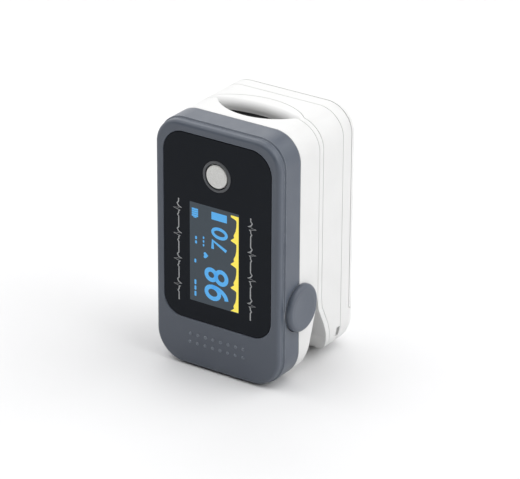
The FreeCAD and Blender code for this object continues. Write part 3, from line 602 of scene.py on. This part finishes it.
# ---- the lit screen and the printed marks --------------------------------------------------
def build_screen():
    """What the display shows, as thin lit layers on the panel's face."""
    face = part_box("display_window")[0].y / MM
    field_front = face - FILM
    front = field_front - FILM
    field = lit("screen_field", (0.040, 0.052, 0.064), (0.030, 0.036, 0.042), 0.9, 0.82)
    blue = lit("screen_blue", (0.085, 0.365, 0.75), (0.04, 0.12, 0.2), 1.0, 0.75)
    yellow = lit("screen_yellow", (0.93, 0.76, 0.09), (0.2, 0.18, 0.05), 1.0, 0.78)

    whole = bar((0, SCREEN_LONG), (0, SCREEN_TALL), FIELD_ROUND)
    show("screen_field", plate_mesh("screen_field", [whole], field_front, FILM), field)
    for name, digits in (("screen_upper_figures", UPPER_DIGITS), ("screen_lower_figures", LOWER_DIGITS)):
        show(name, figures_mesh(name, digits, front), blue)
    shapes = {
        "screen_pulse_bar": [bar(PULSE_BAR["u"], PULSE_BAR["v"])],
        "screen_heart": [heart_outline(HEART["u"], HEART["v"], HEART["size"])],
        "screen_battery_icon": cell_icon(),
        "screen_captions": caption_bars(),
    }
    for name, outlines in shapes.items():
        show(name, plate_mesh(name, outlines, front, FILM), blue)
    show("screen_wave", plate_mesh("screen_wave", [wave_outline()], front, FILM), yellow)


def show(name, mesh, finish):
    """Adds one lit layer to the display."""
    add_piece(name, mesh, finish, "display_half")


def cell_icon():
    """Charge bars and a terminal."""
    low, high = CELL_ICON["u"]
    below, above = CELL_ICON["v"]
    first = low + TERMINAL["long"]
    pitch = (high - first) / CELL_ICON["bars"]
    bars = []
    for count in range(CELL_ICON["bars"]):
        start = first + pitch * count
        bars.append(bar((start, start + pitch * CELL_ICON["filled"]), (below, above)))
    middle = (below + above) / 2
    tip = low + TERMINAL["long"] * TERMINAL["filled"]
    return bars + [bar((low, tip), (middle - TERMINAL["half"], middle + TERMINAL["half"]))]


def caption_bars():
    """Plain dashes where the display names its readings."""
    shapes = []
    for start, lengths, middle, tall in CAPTIONS:
        place = start
        for length in lengths:
            ends = (place, place + length)
            shapes.append(bar(ends, (middle - tall / 2, middle + tall / 2), CAPTION_ROUND))
            place += length + CAPTION_GAP
    return shapes


def pulse_line(x, way):
    """A printed heartbeat line along the panel: flat runs with a small, sharp beat."""
    pitch = (LINE_HIGH - LINE_LOW) / LINE_BEATS
    points = []
    for count in range(LINE_BEATS):
        for along, share in LINE_BEAT:
            points.append((x - way * LINE_SWING * share, LINE_LOW + (count + along) * pitch))
    return points + [(x, LINE_HIGH)]


def build_marks(finish):
    """Plain printed lines on the panel where the real one carries words."""
    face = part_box("display_window")[0].y / MM
    for name, x, way in (("panel_mark_left", LINE_LEFT, 1), ("panel_mark_right", LINE_RIGHT, -1)):
        mesh = ribbon_mesh(name, [pulse_line(x, way)], LINE_WIDTH, face - FILM, FILM)
        add_piece(name, mesh, finish, "display_half")


def dot_highlights(finish):
    """Paler tips on the raised dots below the window: a painted highlight where the domes catch the light.
    """
    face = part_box("front_cover")[0].y / MM + DOT_FOOT
    made = bmesh.new()
    for height, shift in DOT_ROWS:
        for index in range(DOT_COUNT):
            add_dome(made, (index - (DOT_COUNT - 1) / 2) * DOT_PITCH + shift, face, height)
    mesh = bpy.data.meshes.new("grip_dot_highlights")
    made.to_mesh(mesh)
    made.free()
    add_piece("grip_dot_highlights", smooth(mesh), finish, "display_half")


def add_dome(made, x, face, z):
    """Adds a low dome that bulges forward from the face."""
    rings = []
    for lean in DOT_LEANS:
        reach = DOT_WIDE * math.sin(math.radians(lean))
        rise = DOT_PROUD * math.cos(math.radians(lean))
        ring = []
        for side in range(DOT_SIDES):
            turn = 2 * math.pi * side / DOT_SIDES
            place = Vector((x + reach * math.cos(turn), face - rise, z + reach * math.sin(turn)))
            ring.append(made.verts.new(place * MM))
        rings.append(ring)
    for outer, inner in zip(rings, rings[1:]):
        for side in range(DOT_SIDES):
            follow = (side + 1) % DOT_SIDES
            made.faces.new((outer[side], outer[follow], inner[follow], inner[side]))
    made.faces.new(rings[-1])


# ---- soft finger pads ---------------------------------------------------------------------
def sheet_mesh(name, rows, missing):
    """A grid of points as quads, without the cells that missing(row, column) names."""
    made = bmesh.new()
    grid = [[made.verts.new(Vector(point) * MM) for point in row] for row in rows]
    for row in range(len(grid) - 1):
        for column in range(len(grid[0]) - 1):
            if not missing(row, column):
                made.faces.new((grid[row][column], grid[row][column + 1],
                                grid[row + 1][column + 1], grid[row + 1][column]))
    loose = [vertex for vertex in made.verts if not vertex.link_faces]
    bmesh.ops.delete(made, geom=loose, context="VERTS")
    mesh = bpy.data.meshes.new(name)
    made.to_mesh(mesh)
    made.free()
    return smooth(mesh)


def steps(*stops):
    """Evenly spaced values through (value, count) stops: count steps lead on to the next value."""
    values = []
    for (start, count), (end, _) in zip(stops, stops[1:]):
        values += [start + (end - start) * index / count for index in range(count)]
    return values + [stops[-1][0]]


def ripple(z, low, high, depth):
    """Depth of the soft cross grooves that help a pad grip, fading out at both ends."""
    fade = min(1.0, max(0.0, (z - low) / GROOVE_FADE), max(0.0, (high - z) / GROOVE_FADE))
    return depth * fade * math.sin(math.pi * (z - low) / GROOVE_PITCH) ** 2


def near_window(x, z, half_x, half_z):
    """1 at the edge of a pad's window, falling to 0 a little way off."""
    off = max(abs(x) - half_x, abs(z - WINDOW_Z) - half_z, 0.0)
    return max(0.0, 1.0 - off / WINDOW_LIP)


def pad_heights(top, window_half, foot):
    """Heights of the sheet's rows, from the top down, with rows at both edges of the window."""
    upper = WINDOW_Z + window_half
    lower = WINDOW_Z - window_half
    return steps((top, ROWS_ABOVE), (upper, ROWS_BESIDE), (lower, ROWS_BELOW), (foot, 0))


def in_window(window_steps):
    """A test for the cells of the sheet that its window leaves out."""
    rows = range(ROWS_ABOVE, ROWS_ABOVE + ROWS_BESIDE)
    columns = range(SIDE_STEPS, SIDE_STEPS + window_steps)
    return lambda row, column: row in rows and column in columns


def add_pad(name, node, body, mesh, skin, finish):
    """A soft pad in place of a CAD pad, thickened behind its finger side and with rounded edges."""
    piece = add_piece(name, mesh, finish, body)
    thickness = piece.modifiers.new("thickness", "SOLIDIFY")
    thickness.thickness = skin["thick"] * MM
    thickness.offset = -1.0
    thickness.use_even_offset = True
    rounding = piece.modifiers.new("rounding", "SUBSURF")
    rounding.levels = 2
    rounding.render_levels = 2
    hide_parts(node)


def front_pad(finish):
    """Lining of the front jaw: a trough with a window for the light and a closed lower end."""
    low, high = (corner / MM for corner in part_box("front_finger_pad"))
    columns = steps(
        (-FRONT_SPREAD, SIDE_STEPS), (-WINDOW_TURN, FRONT_WINDOW_STEPS), (WINDOW_TURN, SIDE_STEPS),
        (FRONT_SPREAD, 0),
    )
    floor = low.z + FLOOR_THICK
    rows = []
    for z in pad_heights(high.z - PAD_EDGE, WINDOW_HALF_Z, floor + STOP_ROUND):
        row = []
        for angle in columns:
            lip = near_window(FRONT_RADIUS * math.sin(angle), z, WINDOW_HALF_X, WINDOW_HALF_Z)
            groove = ripple(z, floor, high.z, FRONT_SKIN["groove"]) * (1 - lip)
            radius = FRONT_RADIUS + groove - FRONT_SKIN["lip"] * lip
            row.append((radius * math.sin(angle), FRONT_CENTRE - radius * math.cos(angle), z))
        rows.append(row)
    rows += stop_rows(rows[-1], floor, high.y - STOP_EDGE)
    mesh = sheet_mesh("front_pad_soft", rows, in_window(FRONT_WINDOW_STEPS))
    add_pad("front_pad_soft", "front_finger_pad", "display_half", mesh, FRONT_SKIN, finish)


def stop_rows(wall, floor, back):
    """Rows that turn the sheet from the trough's wall into the floor that stops the fingertip."""
    rows = []
    for turn in STOP_TURNS:
        angle = math.radians(turn)
        height = floor + STOP_ROUND - STOP_ROUND * math.sin(angle)
        row = []
        for x, y, _ in wall:
            corner = min(STOP_ROUND, max(STOP_CORNER_MIN, (back - y) * STOP_CORNER_SHARE))
            row.append((x, y + corner * (1 - math.cos(angle)), height))
        rows.append(row)
    turned = rows[-1]
    for share in STOP_SHARES:
        rows.append([(x, y + (back - y) * share, z) for x, y, z in turned])
    return rows


def rear_pad(finish):
    """Lining of the rear jaw: a shallow trough with a window over the sensor."""
    low, high = (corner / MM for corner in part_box("rear_finger_pad"))
    turn = math.asin(SENSOR_HALF_X / REAR_RADIUS)
    columns = steps(
        (REAR_SPREAD, SIDE_STEPS), (turn, REAR_WINDOW_STEPS), (-turn, SIDE_STEPS), (-REAR_SPREAD, 0)
    )
    rows = []
    for z in pad_heights(high.z - PAD_EDGE, SENSOR_HALF_Z, low.z + PAD_EDGE):
        row = []
        for angle in columns:
            lip = near_window(REAR_RADIUS * math.sin(angle), z, SENSOR_HALF_X, SENSOR_HALF_Z)
            groove = ripple(z, low.z, high.z, REAR_SKIN["groove"]) * (1 - lip)
            radius = REAR_RADIUS + groove - REAR_SKIN["lip"] * lip
            row.append((radius * math.sin(angle), REAR_CENTRE + radius * math.cos(angle), z))
        rows.append(row)
    mesh = sheet_mesh("rear_pad_soft", rows, in_window(REAR_WINDOW_STEPS))
    add_pad("rear_pad_soft", "rear_finger_pad", "battery_half", mesh, REAR_SKIN, finish)


# ---- the flex and the springs between the jaws ---------------------------------------------
def bending_piece(name, node, side, finish):
    """A CAD node copied into a piece of its own, which stands in place of the node.

    A side of -1 or 1 keeps only what lies left or right of the middle, and 0 keeps all of it.
    """
    made = bmesh.new()
    made.from_mesh(NODES[node].data)
    made.transform(NODES[node].matrix_world)
    other = [vertex for vertex in made.verts if vertex.co.x * side < 0]
    bmesh.ops.delete(made, geom=other, context="VERTS")
    mesh = bpy.data.meshes.new(name)
    made.to_mesh(mesh)
    made.free()
    mesh.materials.clear()
    mesh.materials.append(finish)
    piece = bpy.data.objects.new(name, mesh)
    bpy.context.scene.collection.objects.link(piece)
    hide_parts(node)
    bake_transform(piece)


def build_bending_pieces(finishes):
    """The flex between the jaws, and each closing spring, left and right, as pieces of their own."""
    bending_piece("jaw_flex", "jaw_ribbon", 0, finishes["flex_amber"])
    for name, side in (("spring_left", -1), ("spring_right", 1)):
        bending_piece(name, "hinge_springs", side, finishes["spring_steel"])


# ---- studio -------------------------------------------------------------------------------
def build_floor():
    """A plain pale floor that reaches the horizon in every view."""
    made = bmesh.new()
    bmesh.ops.create_grid(made, x_segments=8, y_segments=8, size=FLOOR_HALF * MM)
    mesh = bpy.data.meshes.new("studio_floor")
    made.to_mesh(mesh)
    made.free()
    floor = bpy.data.objects.new("studio_floor", mesh)
    bpy.context.scene.collection.objects.link(floor)
    paper = Finish("studio_paper", 0.75, specular=0.1)
    paper.colour(paper.blend(paper.noise(30.0, 3.0), (0.79, 0.79, 0.795), (0.78, 0.78, 0.785)))
    paper.bumps((paper.noise(0.8, 3.0), 0.01))
    mesh.materials.append(paper.material)


def build_sun(name, azimuth, elevation, strength, spread):
    """A broad distant light. Azimuth 0 comes from the display side, 90 from the right."""
    turn, lift = math.radians(azimuth), math.radians(elevation)
    source = Vector((math.sin(turn) * math.cos(lift), -math.cos(turn) * math.cos(lift), math.sin(lift)))
    data = bpy.data.lights.new(name, "SUN")
    data.energy = strength
    data.angle = math.radians(spread)
    lamp = bpy.data.objects.new(name, data)
    lamp.rotation_mode = "QUATERNION"
    lamp.rotation_quaternion = source.to_track_quat("Z", "Y")
    bpy.context.scene.collection.objects.link(lamp)


def build_studio():
    """Floor, lights and a faint even sky."""
    build_floor()
    for name, azimuth, elevation, strength, spread in SUNS:
        build_sun(name, azimuth, elevation, strength, spread)
    world = bpy.data.worlds.new("studio_air")
    world.use_nodes = True
    background = world.node_tree.nodes["Background"]
    background.inputs["Color"].default_value = (1, 1, 1, 1)
    background.inputs["Strength"].default_value = WORLD_STRENGTH
    bpy.context.scene.world = world
    bpy.context.scene.view_settings.view_transform = "Standard"


def build_camera():
    """Looks at the object from its upper right front, through a long lens."""
    back = Vector((math.sin(CAMERA_YAW) * math.cos(CAMERA_PITCH),
                   -math.cos(CAMERA_YAW) * math.cos(CAMERA_PITCH), math.sin(CAMERA_PITCH)))
    right = (-back).cross(Vector((0, 0, 1))).normalized()
    up = right.cross(-back)
    turned_right = right * math.cos(CAMERA_ROLL) + up * math.sin(CAMERA_ROLL)
    turned_up = up * math.cos(CAMERA_ROLL) - right * math.sin(CAMERA_ROLL)
    data = bpy.data.cameras.new("camera")
    data.lens = CAMERA_LENS
    data.sensor_width = SENSOR_WIDTH
    data.clip_start = 0.01
    data.clip_end = 100
    camera = bpy.data.objects.new("camera", data)
    place = (Vector(CAMERA_TARGET) + back * CAMERA_DISTANCE) * MM
    turn = Matrix((turned_right, turned_up, back)).transposed().to_4x4()
    camera.matrix_world = Matrix.Translation(place) @ turn
    bpy.context.scene.collection.objects.link(camera)
    bpy.context.scene.camera = camera


FINISHES = make_finishes()
finish_cad_nodes(FINISHES)
build_screen()
build_marks(moulded("print_grey", (0.42, 0.43, 0.44), (0.36, 0.37, 0.38), 0.5, 0.002))
# The paler dot colour is a painted highlight on the domes.
dot_highlights(moulded("dot_highlight_grey", (0.155, 0.175, 0.21), (0.135, 0.155, 0.19), 0.4, 0.003))
front_pad(FINISHES["pad_silicone"])
rear_pad(FINISHES["pad_silicone"])
build_bending_pieces(FINISHES)
build_studio()
build_camera()
